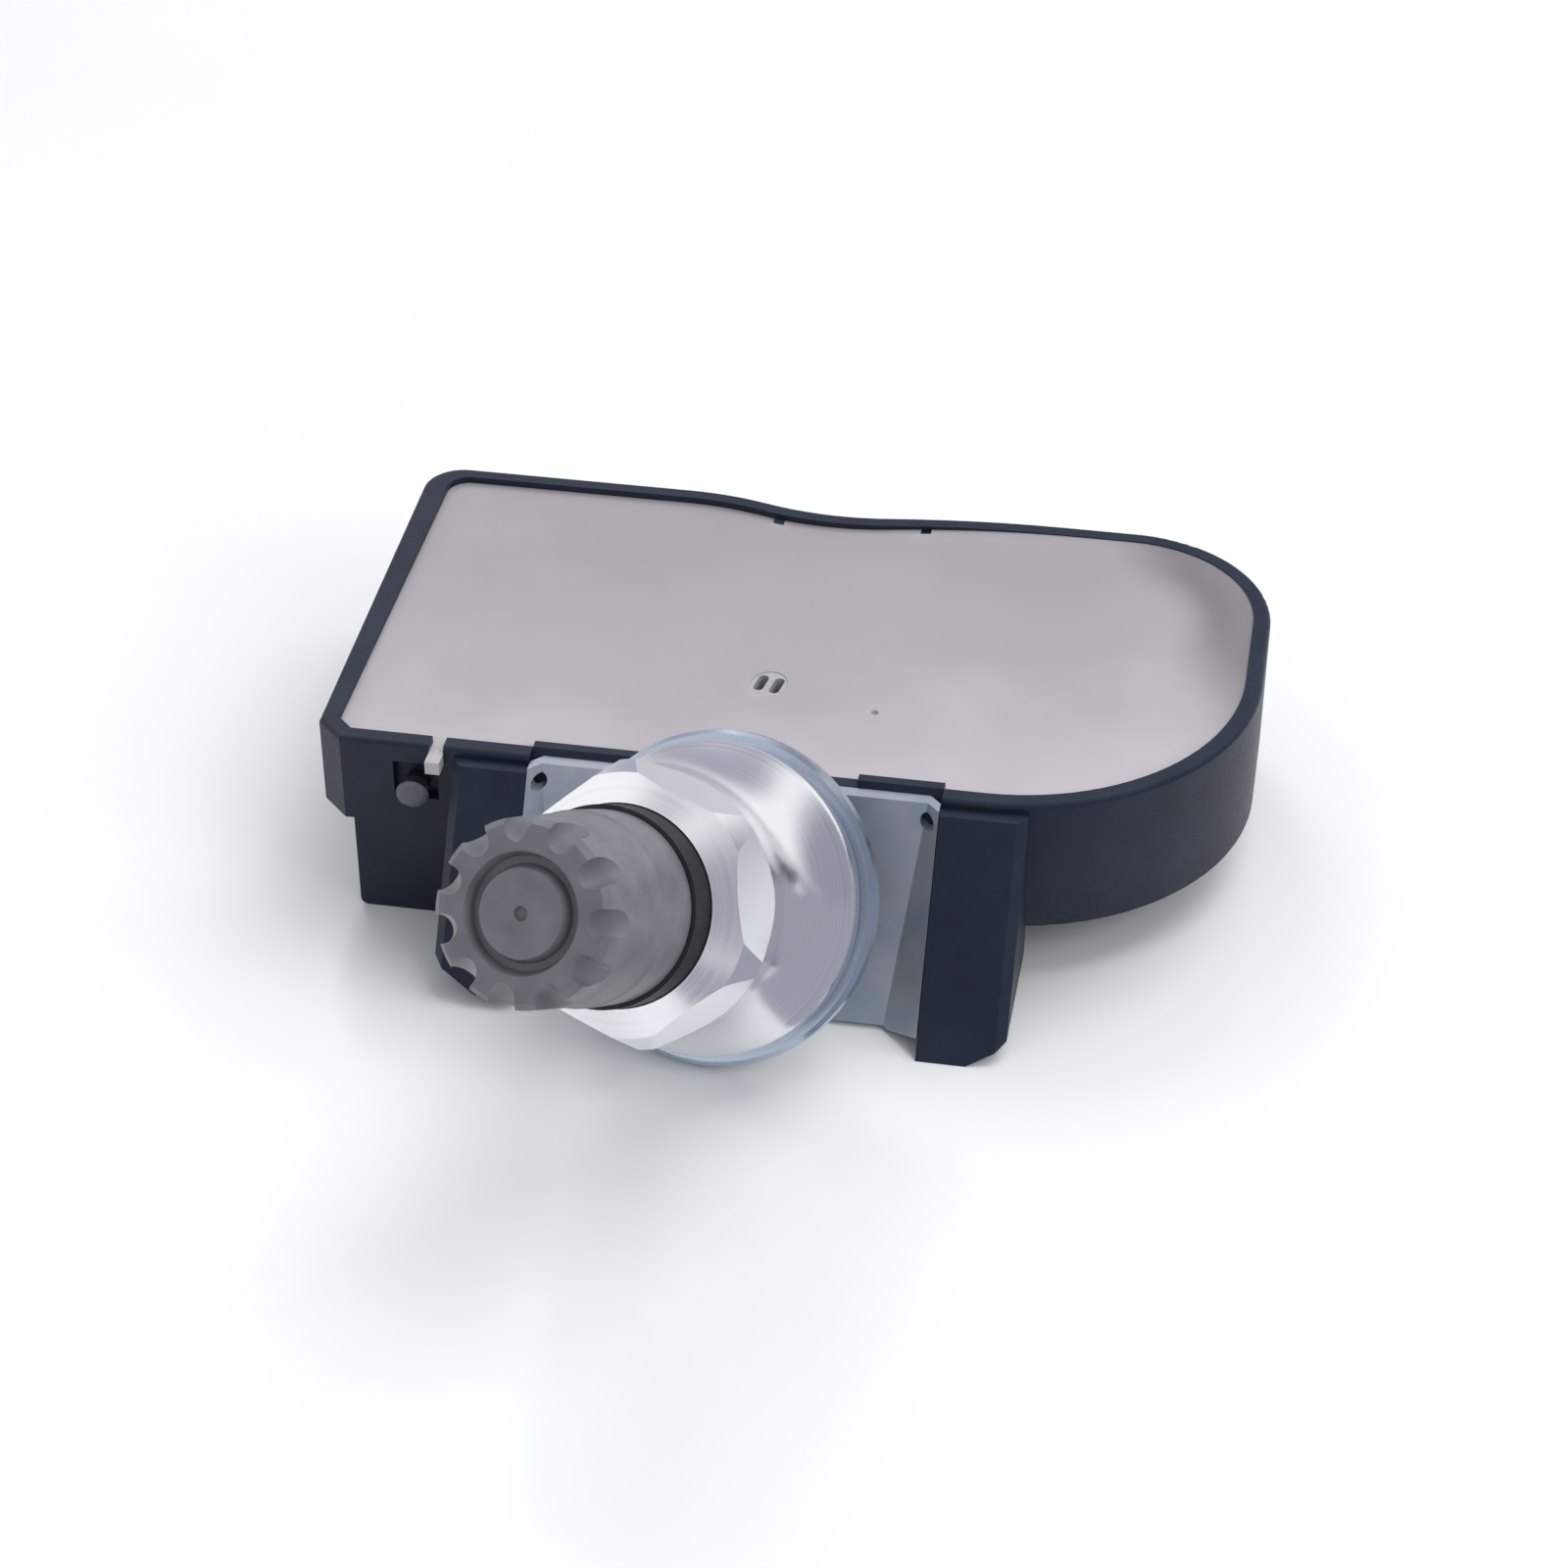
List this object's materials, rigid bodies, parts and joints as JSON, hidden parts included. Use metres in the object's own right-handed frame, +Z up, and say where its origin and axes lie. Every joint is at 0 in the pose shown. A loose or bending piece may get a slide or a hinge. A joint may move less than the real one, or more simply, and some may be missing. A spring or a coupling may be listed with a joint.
{
  "type": "tyre pressure sensor",
  "caption": "Tyre pressure sensor: potted black tray with a round battery end, and a leaning clamp-in valve with collar nut and fluted cap that swivels in a plated saddle.",
  "frame": {"origin": "on the flat sole of the tray, under the middle of its depth, midway between the two ears", "axes": "+X towards the round battery end, +Y to the rear away from the valve, +Z up out of the tray"},
  "size_m": [0.0577, 0.0643, 0.0282],
  "materials": {
    "black_nylon": "moulded, satin",
    "potting_resin": "poured, smooth",
    "zinc_plate": "zinc plated, blue passivated",
    "zinc_washer": "zinc plated, blue passivated",
    "nut_aluminium": "turned and polished",
    "stem_aluminium": "turned",
    "rubber": "moulded",
    "port_rubber": "moulded",
    "cap_plastic": "moulded, matt",
    "core_brass": "turned",
    "gasket_plastic": "smooth",
    "board": "solder resist",
    "cell_steel": "pressed, nickel plated",
    "tab_steel": "stamped",
    "chip_plastic": "moulded",
    "capacitor_ceramic": "fired",
    "ferrite": "sintered",
    "copper": "enamelled"
  },
  "bodies": {
    "housing": {"housing": "black_nylon", "potting": "potting_resin", "saddle_plate": "zinc_plate", "circuit_board": "board", "coin_cell": "cell_steel", "battery_tab_lower": "tab_steel", "battery_tab_upper": "tab_steel", "pressure_chip": "chip_plastic", "port_sleeve": "port_rubber", "radio_chip": "chip_plastic", "crystal": "tab_steel", "capacitors": "capacitor_ceramic", "antenna_core": "ferrite", "antenna_winding": "copper", "antenna_loop": "copper"},
    "valve": {"valve_stem": "stem_aluminium", "grommet": "rubber", "core_barrel": "core_brass", "barrel_gasket": "gasket_plastic", "core_spring": "tab_steel"},
    "core": {"core_pin": "core_brass", "core_seal": "rubber"},
    "washer": {"washer": "zinc_washer"},
    "nut": {"flange_nut": "nut_aluminium"},
    "cap_ring": {"cap_seal_ring": "rubber"},
    "cap": {"valve_cap": "cap_plastic"}
  },
  "joints": [
    {"name": "valve_swing", "type": "hinge", "parent": "housing", "child": "valve", "pos_m": [0.0018, -0.01709, 0.00495], "axis": [0, 0.5621, 0.8271], "range_deg": [-1, 23]},
    {"name": "nut_lift", "type": "slide", "parent": "valve", "child": "washer", "axis": [-0.2164, -0.8075, 0.5488], "range_m": [0, 0.005]},
    {"name": "nut_turn", "type": "hinge", "parent": "washer", "child": "nut", "pos_m": [0.00017, -0.02318, 0.00909], "axis": [-0.2164, -0.8075, 0.5488], "range_deg": [0, 2251]},
    {"name": "cap_lift", "type": "slide", "parent": "valve", "child": "cap_ring", "axis": [-0.2164, -0.8075, 0.5488], "range_m": [0, 0.006]},
    {"name": "cap_turn", "type": "hinge", "parent": "cap_ring", "child": "cap", "pos_m": [-0.0035, -0.03687, 0.0184], "axis": [-0.2164, -0.8075, 0.5488], "range_deg": [0, 2722]},
    {"name": "core_press", "type": "slide", "parent": "valve", "child": "core", "axis": [0.2164, 0.8075, -0.5488], "range_m": [0, 0.0012], "stiffness_N_per_m": 600, "springref_m": -0.001}
  ],
  "couplings": [
    {"joint": "nut_turn", "follows": "nut_lift", "rad_per_m": 7854},
    {"joint": "cap_turn", "follows": "cap_lift", "rad_per_m": 7913.3}
  ]
}
